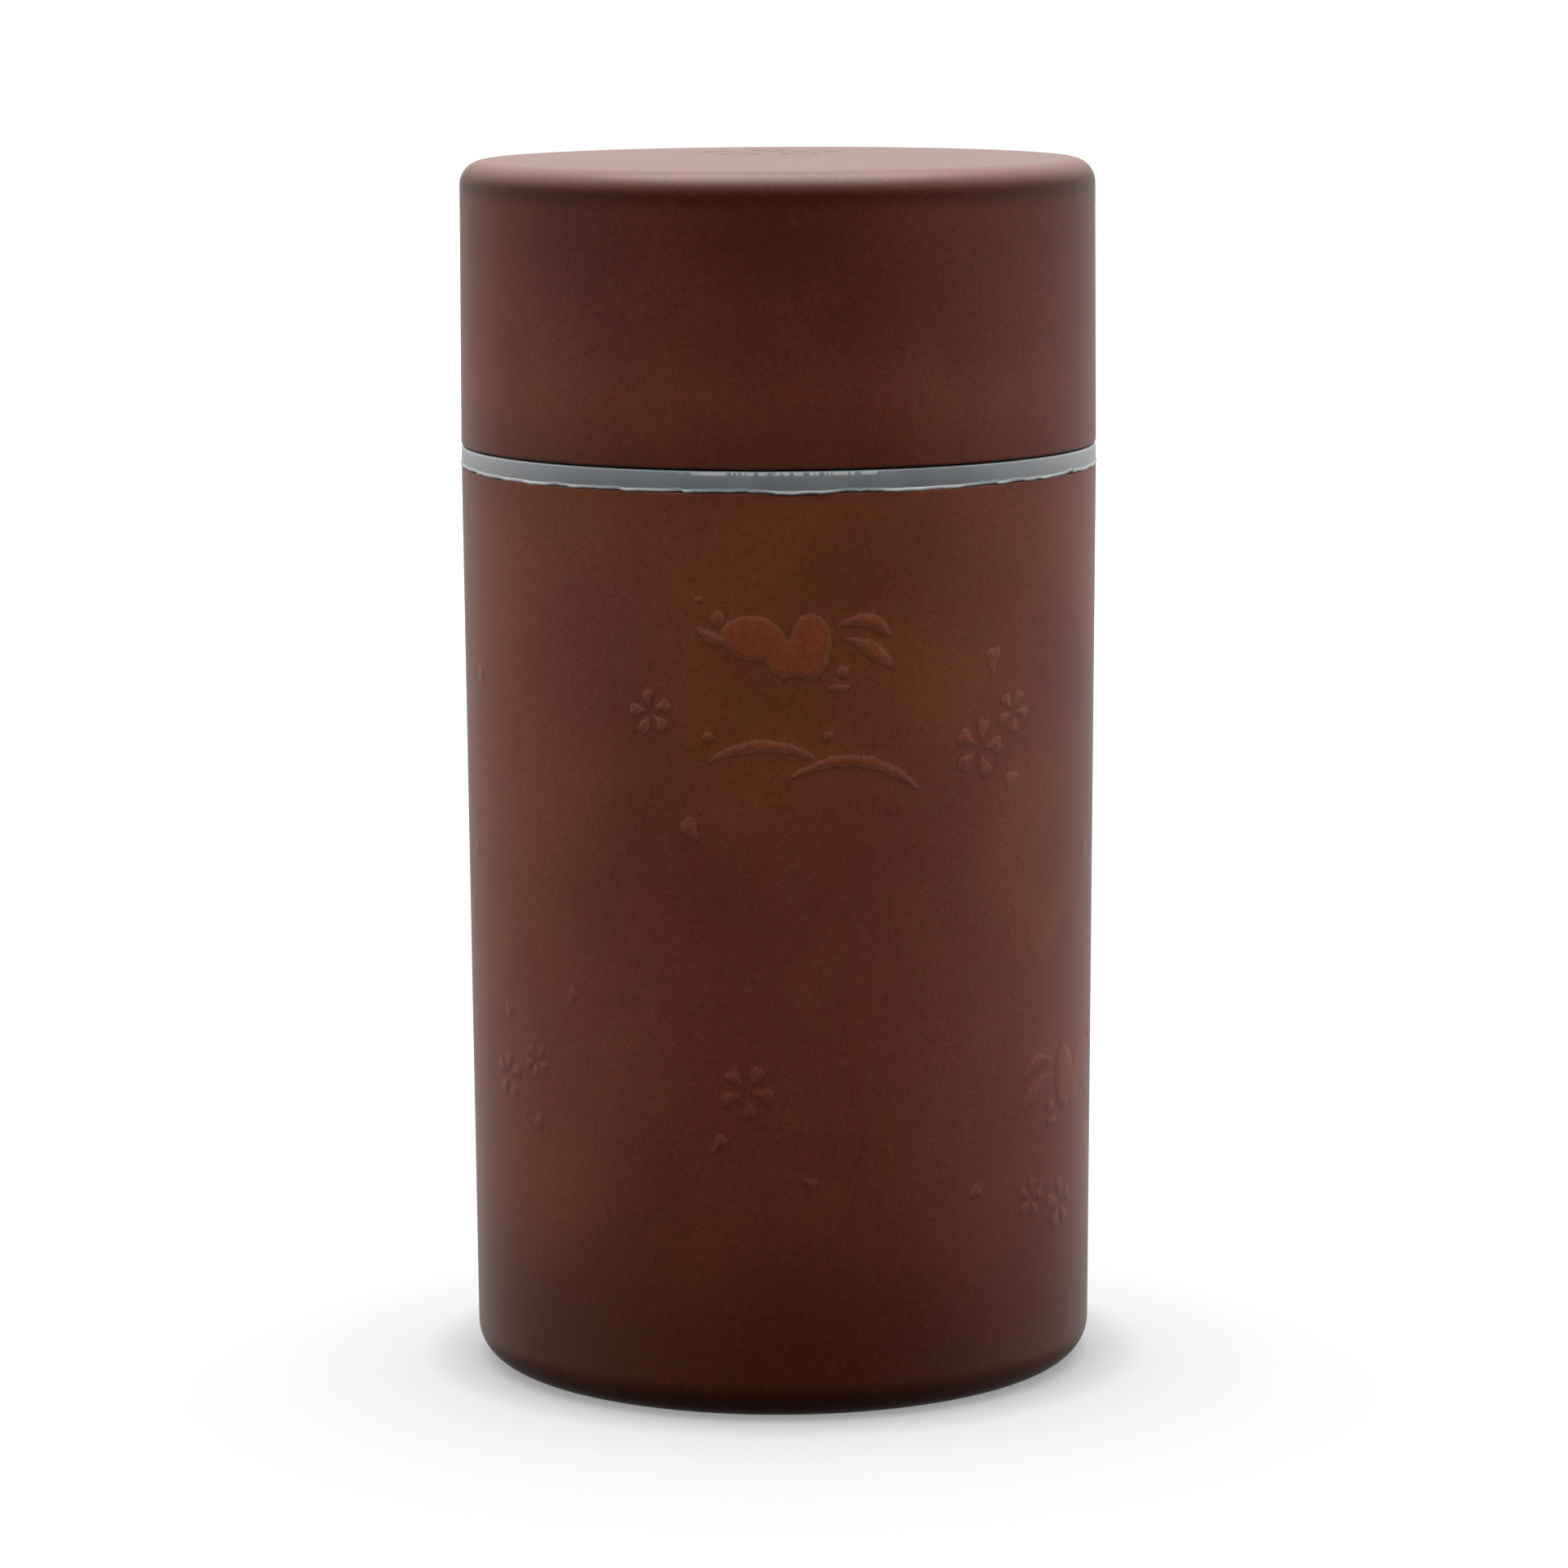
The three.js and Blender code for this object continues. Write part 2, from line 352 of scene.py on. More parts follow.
def mottle(coat, place, wide):  # the coat's large patches of colour
    sizes = coatSettings
    drift = coat.noise(place, scale=0.07, detail=3.0, output="Color")
    drift = coat.add("ShaderNodeVectorMath", {"operation": "SCALE"}, {0: drift, 3: sizes["drift"]})
    middle = (sizes["drift"] / 2,) * 3
    drift = coat.add("ShaderNodeVectorMath", {"operation": "SUBTRACT"}, {0: drift, 1: middle})
    uneven = coat.add("ShaderNodeVectorMath", {}, {0: place, 1: drift})
    broad = coat.noise(coat.stretched(place, offset=(61, 17, 40)), scale=0.018, detail=2.0, roughness=0.4)
    olive = coat.ramp(broad, [(0.42, 0.0), (0.62, 1.0)])
    for centre, radius in sizes["oliveSpots"]:
        olive = coat.largest(olive, coat.spot(uneven, centre, radius, core=0.55))
    colour = coat.mix(olive * sizes["oliveShare"], sizes["purple"], sizes["olive"])
    for centre, radius in sizes["plumSpots"]:
        plum = coat.spot(uneven, centre, radius, core=0.3) * sizes["plumShare"]
        colour = coat.mix(plum, colour, sizes["plum"])
    red = coat.ramp(wide, [(0.50, 0.0), (0.68, 1.0)])
    colour = coat.mix(red * sizes["redShare"], colour, sizes["red"])
    patch = coat.noise(coat.stretched(place, offset=(33, 70, 5)), scale=0.11, detail=3.0, roughness=0.6)
    high = coat.ramp(patch, [(0.48, 0.0), (0.66, 1.0)])
    colour = coat.mix(high * sizes["patchRed"], colour, sizes["red"])
    low = coat.ramp(patch, [(0.34, 1.0), (0.50, 0.0)])
    return coat.mix(low * sizes["patchOlive"], colour, sizes["olive"])


def brownCoat(name, relief):  # relief holds the strengths of the fill colour, the painted rim highlight and the painted hollow shade, or None
    sizes = coatSettings
    coat = Finish(name)
    place = coat.place()
    wide = coat.noise(place, scale=0.022, detail=2.5, roughness=0.45)
    colour = mottle(coat, place, wide)
    level = coat.split(place)[2] / sizes["fullHeight"]
    # painted shade, darker towards the foot and round the cap's top
    ends = coat.ramp(level, sizes["paintedEndShade"])
    colour = coat.mix(ends, colour, sizes["darkAndShade"])
    broad = coat.noise(coat.stretched(place, offset=(9, 88, 23)), scale=0.03, detail=2.0, roughness=0.5)
    darkPatchesAndShade = coat.ramp(broad, [(0.45, 0.0), (0.75, 1.0)]) * sizes["darkShare"]
    # dark patches, and spots of painted shade at the foot's front and the cap's front
    for centre, radius, strength in sizes["patchAndShadeSpots"]:
        darkPatchesAndShade = coat.largest(darkPatchesAndShade, coat.spot(place, centre, radius) * strength)
    colour = coat.mix(darkPatchesAndShade, colour, sizes["darkAndShade"])
    roughness = sizes["roughness"] + (wide - 0.5) * sizes["wideRough"]
    if relief:
        fillShare, rimHighlightShare, hollowShadeShare = relief
        depth = coat.add("ShaderNodeAttribute", {"attribute_name": "motifDepth"}, {}, "Fac")
        share = depth * 0.5 + 0.5  # 0.5 on the outline, more inside it
        heightFade = coat.ramp(level, sizes["heightFade"])
        fill = coat.ramp(share, [(0.58, 0.0), (0.78, 1.0)])
        # painted highlight along the shapes' outlines
        rim = coat.ramp(share, [(0.40, 0.0), (0.53, 1.0), (0.62, 0.6), (0.78, 0.2)])
        # painted shade just outside the outlines, where the raised shapes meet the wall
        hollowShade = coat.ramp(share, [(0.25, 0.0), (0.39, 1.0), (0.46, 0.0)])
        colour = coat.mix(fill * heightFade * fillShare, colour, sizes["glow"])
        colour = coat.mix(rim * heightFade * rimHighlightShare, colour, sizes["rim"])
        colour = coat.mix(hollowShade * hollowShadeShare, colour, sizes["darkAndShade"])
    grain = coat.noise(place, scale=2.2, detail=3.0, roughness=0.7)
    grain = coat.ramp(grain, [(0.34, 0.0), (0.66, 1.0)], "LINEAR")
    speck = coat.noise(place, scale=0.9, detail=3.0, roughness=0.65)
    shade = coat.mix(grain, (0, 0, 0, 1), (1, 1, 1, 1))
    colour = coat.mix(sizes["grainShare"], colour, shade, "OVERLAY")
    spots = coat.ramp(speck, [(0.52, 0.0), (0.68, 1.0)]) * (1 - ends * sizes["endSpeck"])
    colour = coat.mix(spots * sizes["speckShare"], colour, sizes["red"])
    roughness = roughness + (grain - 0.5) * sizes["grainRough"]
    normal = coat.bump(speck, strength=0.22, distance=0.025)
    normal = coat.bump(grain, strength=0.30, distance=0.006, normal=normal)
    coat.surface({"Base Color": colour, "Roughness": roughness, "IOR": 1.46, "Normal": normal})
    return coat.material


sealLook = {
    "thin": (0.250, 0.275, 0.300, 1),
    "thick": (0.395, 0.415, 0.435, 1),
    "fine": (0.34, 0.37, 0.39, 1),
    # painted sheen, lighter towards the ring's left and right sides
    "side": (0.52, 0.535, 0.55, 1),
    # colour of the painted highlights on the ring's edges
    "paintedHighlight": (0.90, 0.89, 0.89, 1),
    "gate": (0.05, 0.06, 0.075, 1),
    # places and reaches in mm
    "radius": 40,
    "lipBottom": 114,
    "browBottom": 115,
    "dashHighlights": ((1, -38, 117), 14),
    "droop": ((2.4, -39.6, 114.2), 7),
    "fleckHighlight": ((5.9, -37.0, 116.2), 0.45),
    "gateMark": ((-32.9, -18.2, 115.8), 1.0),
    "fineShare": 0.25,
    "droopShare": 0.45,
    "browShare": 0.8,
    "fleckShare": 0.6,
    "gateShare": 0.55,
}


def sealFinish():
    sizes = sealLook
    seal = Finish("softSeal")
    place = seal.place()
    cloud = seal.noise(place, scale=0.16, detail=3.0, roughness=0.55)
    fine = seal.noise(place, scale=1.6, detail=2.0, roughness=0.6)
    across, _, height = seal.split(place)
    colour = seal.mix(cloud, sizes["thin"], sizes["thick"])
    # painted sheen: the ring lightens towards its left and right sides
    sides = seal.ramp(across * across / sizes["radius"] ** 2, [(0.2, 0.0), (1.0, 1.0)])
    colour = seal.mix(sides, colour, sizes["side"])
    veins = seal.ramp(fine, [(0.60, 0.0), (0.75, 1.0)]) * sizes["fineShare"]
    colour = seal.mix(veins, colour, sizes["fine"])
    # painted highlights: a white line on the lip's upper face, dimmed where the lip droops, broken white
    # dashes along the upper edge and one white fleck
    foot = seal.ramp((height - sizes["lipBottom"]) / 2, [(0.30, 1.0), (0.42, 0.0)])
    browStops = [(0.70, 0.0), (0.80, 1.0), (0.90, 1.0), (0.96, 0.0)]
    browHighlight = seal.ramp((height - sizes["browBottom"]) / 2, browStops)
    broken = seal.noise(seal.stretched(place, (1.1, 1.1, 0.2)), scale=1.0, detail=2.0, roughness=0.7)
    dashHighlights = seal.ramp(broken, [(0.44, 0.0), (0.54, 1.0)]) * seal.spot(place, *sizes["dashHighlights"], core=0.7)
    droop = 1 - seal.spot(place, *sizes["droop"], core=0.4) * sizes["droopShare"]
    fleckHighlight = seal.spot(place, *sizes["fleckHighlight"], core=0.3) * sizes["fleckShare"]
    paintedHighlight = seal.largest(seal.largest(foot * droop, browHighlight * dashHighlights * sizes["browShare"]), fleckHighlight)
    colour = seal.mix(paintedHighlight, colour, sizes["paintedHighlight"])
    gate = seal.spot(place, *sizes["gateMark"], core=0.35) * sizes["gateShare"]
    colour = seal.mix(gate, colour, sizes["gate"])
    seal.surface({
        "Base Color": colour,
        "Roughness": 0.26 + fine * 0.12,
        "IOR": 1.45,
        "Subsurface Weight": 0.15,
        "Subsurface Radius": (0.6, 0.7, 0.8),
        "Subsurface Scale": 0.001,
        "Normal": seal.bump(fine, strength=0.2, distance=0.02),
    })
    return seal.material


def metalFinish():
    metal = Finish("drawnMetal")
    place = metal.place()
    lines = metal.noise(metal.stretched(place, (0.02, 0.02, 4.0)), scale=1.0, detail=4.0, roughness=0.7)
    cloud = metal.noise(place, scale=0.08, detail=2.0, roughness=0.5)
    metal.surface({
        "Base Color": metal.mix(lines, (0.70, 0.70, 0.71, 1), (0.88, 0.88, 0.88, 1)),
        "Metallic": 1.0,
        "Roughness": 0.30 + lines * 0.14 + cloud * 0.08,
        "Normal": metal.bump(lines, strength=0.35, distance=0.015),
    })
    return metal.material


def linerFinish():
    metal = Finish("linerMetal")
    x, y, z = metal.split(metal.place())
    radius = (x * x + y * y) ** 0.5
    rings = metal.add("ShaderNodeCombineXYZ", {}, {"X": radius * 3.0, "Z": z * 3.0})
    lines = metal.noise(rings, scale=1.0, detail=4.0, roughness=0.7)
    metal.surface({
        "Base Color": metal.mix(lines, (0.60, 0.60, 0.61, 1), (0.80, 0.80, 0.80, 1)),
        "Metallic": 1.0,
        "Roughness": 0.26 + lines * 0.16,
        "Normal": metal.bump(lines, strength=0.35, distance=0.015),
    })
    return metal.material


def milkyFinish():
    milky = Finish("milkyPlastic")
    place = milky.place()
    cloud = milky.noise(place, scale=0.09, detail=3.0, roughness=0.5)
    grain = milky.noise(place, scale=2.4, detail=2.0, roughness=0.6)
    milky.surface({
        "Base Color": milky.mix(cloud, (0.60, 0.60, 0.56, 1), (0.72, 0.72, 0.69, 1)),
        "Roughness": 0.36 + grain * 0.14,
        "Subsurface Weight": 0.25,
        "Subsurface Radius": (1.2, 1.1, 1.0),
        "Subsurface Scale": 0.001,
        "Normal": milky.bump(grain, strength=0.25, distance=0.02),
    })
    return milky.material


def gasketFinish():
    soft = Finish("gasketRubber")
    grain = soft.noise(soft.place(), scale=1.8, detail=3.0, roughness=0.6)
    soft.surface({
        "Base Color": soft.mix(grain, (0.30, 0.32, 0.34, 1), (0.42, 0.44, 0.45, 1)),
        "Roughness": 0.45 + grain * 0.15,
        "Normal": soft.bump(grain, strength=0.3, distance=0.02),
    })
    return soft.material


def screwFinish():
    zinc = Finish("zincPlate")
    grain = zinc.noise(zinc.place(), scale=1.2, detail=3.0, roughness=0.6)
    zinc.surface({
        "Base Color": zinc.mix(grain, (0.52, 0.53, 0.55, 1), (0.74, 0.73, 0.68, 1)),
        "Metallic": 1.0,
        "Roughness": 0.25 + grain * 0.2,
        "Normal": zinc.bump(grain, strength=0.3, distance=0.01),
    })
    return zinc.material


# modelling

def pick(piece):
    bpy.ops.object.select_all(action="DESELECT")
    bpy.context.view_layer.objects.active = piece
    piece.select_set(True)


def editPiece(piece, mode="EDGE"):
    pick(piece)
    bpy.ops.object.mode_set(mode="EDIT")
    bpy.ops.mesh.select_mode(type=mode)
    bpy.ops.mesh.select_all(action="DESELECT")


def stopEditing():
    bpy.ops.object.mode_set(mode="OBJECT")


def selectEdges(piece, isWanted):  # isWanted takes the edge's two ends, in millimetres
    mesh = bmesh.from_edit_mesh(piece.data)
    for edge in mesh.edges:
        edge.select_set(isWanted(edge.verts[0].co / mm, edge.verts[1].co / mm))
    bmesh.update_edit_mesh(piece.data)


def selectFaces(piece, isWanted):  # isWanted takes the face's middle, in millimetres
    mesh = bmesh.from_edit_mesh(piece.data)
    for face in mesh.faces:
        face.select_set(isWanted(face.calc_center_median() / mm))
    bmesh.update_edit_mesh(piece.data)


def onRing(radius, height, slack=0.01):
    def isOn(*ends):
        return all(abs(p.xy.length - radius) < slack and abs(p.z - height) < slack for p in ends)
    return isOn


def turnPiece(name, outline, segments, closed=False):  # outline holds (radius, height) pairs, in mm
    radius, height = outline[0]
    bpy.ops.object.select_all(action="DESELECT")
    bpy.ops.mesh.primitive_circle_add(vertices=segments, radius=radius * mm)
    piece = bpy.context.object
    piece.name = name
    piece.data.name = name
    editPiece(piece)
    bpy.ops.mesh.select_all(action="SELECT")
    bpy.ops.transform.translate(value=(0, 0, height * mm))
    for nextRadius, nextHeight in outline[1:]:
        rise = (0, 0, (nextHeight - height) * mm)
        bpy.ops.mesh.extrude_edges_move(TRANSFORM_OT_translate={"value": rise})
        share = nextRadius / radius
        bpy.ops.transform.resize(value=(share, share, 1), center_override=(0, 0, nextHeight * mm))
        radius, height = nextRadius, nextHeight
    if not closed:
        for ringRadius, ringHeight in (outline[-1], outline[0]):
            selectEdges(piece, onRing(ringRadius, ringHeight))
            bpy.ops.mesh.extrude_edges_move()
            bpy.ops.mesh.merge(type="CENTER")
    bpy.ops.mesh.select_all(action="SELECT")
    bpy.ops.mesh.remove_doubles(threshold=0.0005 * mm)
    bpy.ops.mesh.normals_make_consistent(inside=False)
    stopEditing()
    return piece


def roundRings(piece, rings, width, cuts):
    editPiece(piece)
    for radius, height in rings:
        selectEdges(piece, onRing(radius, height))
        bpy.ops.mesh.bevel(offset=width * mm, segments=cuts, affect="EDGES", clamp_overlap=True)
    stopEditing()


def finishPiece(piece, body, nodes, material, smooth=32):
    piece.data.materials.append(material)
    pick(piece)
    bpy.ops.object.shade_smooth_by_angle(angle=math.radians(smooth))
    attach(piece, body)
    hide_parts(*nodes)
    print("made", piece.name, len(piece.data.polygons), "faces")


def steps(start, end, count):  # evenly spaced, without the start
    return [start + (end - start) * i / count for i in range(1, count + 1)]


# raised pattern: each shape gives how far a point lies inside its outline, in millimetres

outside = -9.0  # the depth of a point that is nowhere near a shape


def oval(x, y, centre, size, tilt=0):
    c, s = math.cos(math.radians(tilt)), math.sin(math.radians(tilt))
    along = ((x - centre[0]) * c + (y - centre[1]) * s) / size[0]
    across = ((y - centre[1]) * c - (x - centre[0]) * s) / size[1]
    reach = np.hypot(along, across)
    slope = np.hypot(along / size[0], across / size[1])
    return -reach * (reach - 1) / np.maximum(slope, 1e-6)


def stroke(x, y, start, end, startWidth, endWidth):
    dx, dy = end[0] - start[0], end[1] - start[1]
    share = np.clip(((x - start[0]) * dx + (y - start[1]) * dy) / (dx * dx + dy * dy), 0, 1)
    gap = np.hypot(x - start[0] - share * dx, y - start[1] - share * dy)
    return startWidth + (endWidth - startWidth) * share - gap


def bentStroke(x, y, start, middle, end, width, lean=1.0, pieces=12):
    inside = np.full_like(x, outside * 10)
    last = None
    for i in range(pieces + 1):
        t = i / pieces
        point = [(1 - t) ** 2 * start[k] + 2 * t * (1 - t) * middle[k] + t * t * end[k] for k in (0, 1)]
        thick = width * max(math.sin(math.pi * t ** lean), 0) ** 0.7 + 0.04
        if last:
            inside = np.maximum(inside, stroke(x, y, last[0], point, last[1], thick))
        last = (point, thick)
    return inside


def petal(x, y, base, direction, length):
    ux, uy = math.cos(math.radians(direction)), math.sin(math.radians(direction))
    head = (base[0] + ux * length * 0.66, base[1] + uy * length * 0.66)
    drop = stroke(x, y, base, head, 0.05, length * 0.34)
    notch = (base[0] + ux * length * 1.12, base[1] + uy * length * 1.12)
    bite = np.hypot(x - notch[0], y - notch[1]) - length * 0.24
    return np.minimum(drop, bite)


def blossom(x, y, centre, radius, turn):
    petals = []
    for angle in range(turn, turn + 360, 72):
        c, s = math.cos(math.radians(angle)), math.sin(math.radians(angle))
        base = (centre[0] + radius * 0.30 * c, centre[1] + radius * 0.30 * s)
        petals.append(petal(x, y, base, angle, radius * 0.70))
    return np.maximum.reduce(petals)


def rabbit(x, y, head, side):  # side is 1 for a leap to the right, -1 to the left
    u = (x - head[0]) * side
    v = y - head[1]
    return np.maximum.reduce([
        oval(u, v, (0.0, 0.0), (2.45, 3.95), -4),
        oval(u, v, (-6.7, 1.0), (3.9, 2.6), -10),
        oval(u, v, (-2.7, -1.5), (2.5, 2.2), -20),
        oval(u, v, (-11.1, 3.4), (0.85, 0.75), 20),
        bentStroke(u, v, (-13.4, 2.4), (-11.9, 0.6), (-9.4, 0.4), 0.52),
        bentStroke(u, v, (3.6, 2.5), (7.3, 4.2), (9.7, 1.2), 0.72, 1.4),
        bentStroke(u, v, (4.1, 1.0), (7.5, 0.1), (9.9, -2.5), 0.85, 1.6),
        oval(u, v, (3.9, -3.1), (0.72, 0.62)),
        bentStroke(u, v, (2.4, -4.9), (3.5, -5.5), (4.7, -4.8), 0.34),
        oval(u, v, (-13.3, 5.7), (0.40, 0.20)),
    ])


patternSettings = {
    "height": 0.10,  # mm, proud of the wall
    "edge": 1.0,  # mm, width of the sloping edge
    "flank": 0.75,  # share of the height on the outline's inner edge
    "domeDepth": 1.6,  # mm inside the outline, where the full height is reached
    "bands": [(-1.5, 9), (-0.8, 9), (-0.45, 0.6)],  # depths in which the mesh is made finer
    "wobble": 0.05,  # mm, how far the outlines wander
    "rabbits": [((3.6, 95.9), 1), ((43.8, 38.9), -1)],
    "reach": 1.6,  # mm, how deep in the wall a point still counts
    "hillWidth": 0.60,
    "dotSize": (0.55, 0.5),
    "hills": [((-8.6, 82.0), (-2.0, 85.7), (4.4, 82.2)), ((1.1, 80.0), (9.6, 84.7), (17.1, 78.2))],
    "dots": [(-8.7, 84.9), (5.7, 85.0)],
    "blossoms": [
        ((-16.0, 87.7), 2.8, 100), ((31.6, 86.4), 2.7, 60), ((25.9, 82.4), 3.7, 75),
        ((-4.3, 41.4), 3.4, 60), ((-41.0, 40.0), 3.0, 90), ((-34.8, 42.6), 2.2, 50),
        ((35.6, 24.8), 2.4, 80), ((42.5, 23.0), 3.2, 20),
    ],
    "petals": [
        ((28.1, 91.6), 90, 3.0), ((32.6, 78.6), 200, 2.4), ((-10.0, 72.4), 130, 3.0),
        ((-28.6, 50.6), 60, 2.4), ((-41.4, 49.8), 300, 2.4), ((-34.0, 36.2), 250, 2.2),
        ((-8.6, 33.8), 50, 2.6), ((24.6, 26.6), 30, 2.2), ((2.5, 30.5), 330, 2.0),
        ((-47.0, 88.0), 120, 2.4), ((-52.0, 66.0), 40, 2.6), ((52.0, 66.0), 150, 2.6),
    ],
    "repeats": 2,  # times round the body
}


def wallPattern(points, wallRadius):  # points in millimetres; the largest depth of any shape there
    sizes = patternSettings
    radius = np.hypot(points[:, 0], points[:, 1])
    angle = np.arctan2(points[:, 0], -points[:, 1])
    height = points[:, 2]
    inside = np.full(len(points), outside)
    for i in range(sizes["repeats"]):
        turn = angle - 2 * math.pi * i / sizes["repeats"]
        x = (turn - 2 * math.pi * np.round(turn / (2 * math.pi))) * wallRadius
        x = x + sizes["wobble"] * (np.sin(height * 1.5 + x * 0.7) + np.sin(height * 2.9 - x * 1.9 + 1))
        height = points[:, 2] + sizes["wobble"] * (np.sin(x * 1.4 + 2) + np.sin(x * 2.7 + height * 1.3))
        shapes = [rabbit(x, height, head, side) for head, side in sizes["rabbits"]]
        shapes += [bentStroke(x, height, *hill, sizes["hillWidth"]) for hill in sizes["hills"]]
        shapes += [oval(x, height, dot, sizes["dotSize"]) for dot in sizes["dots"]]
        shapes += [blossom(x, height, *flower) for flower in sizes["blossoms"]]
        shapes += [petal(x, height, *leaf) for leaf in sizes["petals"]]
        inside = np.maximum.reduce([inside, *shapes])
    return np.where(radius > wallRadius - sizes["reach"], inside, outside)


def readAll(items, key):
    flat = np.zeros(len(items) * 3)
    items.foreach_get(key, flat)
    return flat.reshape(-1, 3) / mm


def meshPoints(piece):
    return readAll(piece.data.vertices, "co")


def setPoints(piece, points):
    piece.data.vertices.foreach_set("co", (points * mm).astype(np.float32).ravel())
    piece.data.update()


def refine(piece, measure, bands):  # each band is (least, most) depth in which the faces are split in four
    for least, most in bands:
        editPiece(piece, "FACE")
        stopEditing()
        depth = measure(readAll(piece.data.polygons, "center"))
        piece.data.polygons.foreach_set("select", (depth > least) & (depth < most))
        bpy.ops.object.mode_set(mode="EDIT")
        bpy.ops.mesh.subdivide(number_cuts=1)
        stopEditing()


def smoothStep(values, start, end):
    share = np.clip((values - start) / (end - start), 0, 1)
    return share * share * (3 - 2 * share)


def pushOut(piece, weights, height):  # moves each point along its normal by its weight times height
    group = piece.vertex_groups.new(name="raised")
    for index in np.nonzero(weights > 0.002)[0]:
        group.add([int(index)], float(weights[index]), "REPLACE")
    modifier = piece.modifiers.new("raised", "DISPLACE")
    modifier.vertex_group = group.name
    modifier.mid_level = 0
    modifier.strength = height * mm
    pick(piece)
    bpy.ops.object.modifier_apply(modifier=modifier.name)
    piece.vertex_groups.clear()


def storeDepth(piece, depth):
    attribute = piece.data.attributes.new("motifDepth", "FLOAT", "POINT")
    attribute.data.foreach_set("value", np.clip(depth, -1, 1).astype(np.float32))


# outer body

bodySettings = {
    "segments": 192,
    "wallRows": 62,
    "baseInset": 0.85,
    "baseEdge": 4.5,
    "baseCuts": 12,
    "rimEdge": 0.3,
    "rimCuts": 3,
    "footWidth": 3.5,
    "footRecess": 0.8,
    "footSlope": 0.4,
    "wall": 2.4,
    "floorTop": 3.2,
    "rebateDepth": 1.2,
    "beadGap": 0.2,
    "gateRadius": 1.6,
    "gateTaper": 0.7,  # share of the radius left at the mark's top
    "gateHeight": 0.35,
    "stepRadius": 21.0,
    "stepDepth": 0.25,
    "stepSlope": 0.3,
    "tuck": 0.6,  # how far the wall's rows keep from its two ends
    "slack": 0.1,
    "relief": (0.58, 0.32, 0.15),  # strengths of the fill colour, the painted rim highlight and the painted hollow shade
}


def makeBody():
    sizes = bodySettings
    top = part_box("body_shell")[1] / mm
    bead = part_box("inner_can")[1].x / mm
    shoulder, height = top.x, top.z
    base = shoulder - sizes["baseInset"]
    bore = base - sizes["wall"]
    footInner = base - sizes["baseEdge"] - sizes["footWidth"]
    recess = sizes["footRecess"]
    step = recess - sizes["stepDepth"]
    rebate = bead + sizes["beadGap"]
    rebateFloor = height - sizes["rebateDepth"]

    def wallRadius(z):
        return base + (shoulder - base) * z / height

    firstRow = sizes["baseEdge"] + sizes["tuck"]
    rows = [(wallRadius(z), z) for z in steps(firstRow, height - sizes["tuck"], sizes["wallRows"])]
    outline = [
        (sizes["gateRadius"] * sizes["gateTaper"], recess - sizes["gateHeight"]),
        (sizes["gateRadius"], recess),
        (sizes["stepRadius"], recess),
        (sizes["stepRadius"] + sizes["stepSlope"], step),
        (footInner - sizes["footSlope"], step),
        (footInner, 0),
        (base, 0),
        (wallRadius(firstRow), firstRow),
        *rows,
        (shoulder, height),
        (rebate, height),
        (rebate, rebateFloor),
        (bore, rebateFloor),
        (bore, sizes["floorTop"]),
    ]
    piece = turnPiece("caddyBody", outline, sizes["segments"])
    roundRings(piece, [(base, 0)], sizes["baseEdge"], sizes["baseCuts"])
    roundRings(piece, [(shoulder, height)], sizes["rimEdge"], sizes["rimCuts"])

    def depthAt(points):
        return wallPattern(points, (base + shoulder) / 2)

    pattern = patternSettings
    refine(piece, depthAt, pattern["bands"])
    points = meshPoints(piece)
    depth = depthAt(points)
    radius = np.hypot(points[:, 0], points[:, 1])
    onWall = (radius > wallRadius(points[:, 2]) - sizes["slack"]) & (depth > -pattern["reach"])
    stretch = wallRadius(points[:, 2]) / np.maximum(radius, 1)
    points[:, :2] *= np.where(onWall, stretch, 1)[:, None]  # the new points go out to the round wall
    setPoints(piece, points)
    half = pattern["edge"] / 2
    dome = pattern["flank"] + (1 - pattern["flank"]) * smoothStep(depth, 0, pattern["domeDepth"])
    pushOut(piece, smoothStep(depth, -half, half) * dome, pattern["height"])
    storeDepth(piece, depth)
    coat = brownCoat("bodyCoat", sizes["relief"])
    finishPiece(piece, "body", ["body_shell"], coat)


# seal ring

sealSettings = {
    "segments": 720,
    # outlines, in mm outward and upward from the ring's lower and upper outer corner
    "lip": [(-0.25, 0.02), (0.03, -0.04), (0.05, -0.02), (0.10, 0.10), (0.06, 0.29), (-0.02, 0.34)],
    "bandEdge": [(-0.02, -0.24), (-0.05, -0.144), (-0.24, 0.0)],
    "seat": 0.02,
    "wave": 0.28,
    "waveOut": 0.10,
    "nick": 0.30,
    "waveCounts": (5, 9, 14, 23, 37, 61, 97),  # round the ring
    "nickCounts": (13, 22, 31),
    "phases": 6.28,
    "droop": (2.4, 4.2, 0.34),  # its middle to the right of the front, half width and depth
    "bandGap": 0.18,  # under the cap
    "linerGap": 0.9,  # from the liner's outside in to the sleeve's bore
    "sleeve": 0.9,
    "sleeveEdge": 0.2,
    "ribs": 2,
    "ribOut": 0.4,
    "ribWidth": 0.8,
    "lipReach": 0.2,  # how far inside the outer radius a point is still on the lip
    "slack": 0.01,
    "smooth": 40,
    "seed": 7,
}


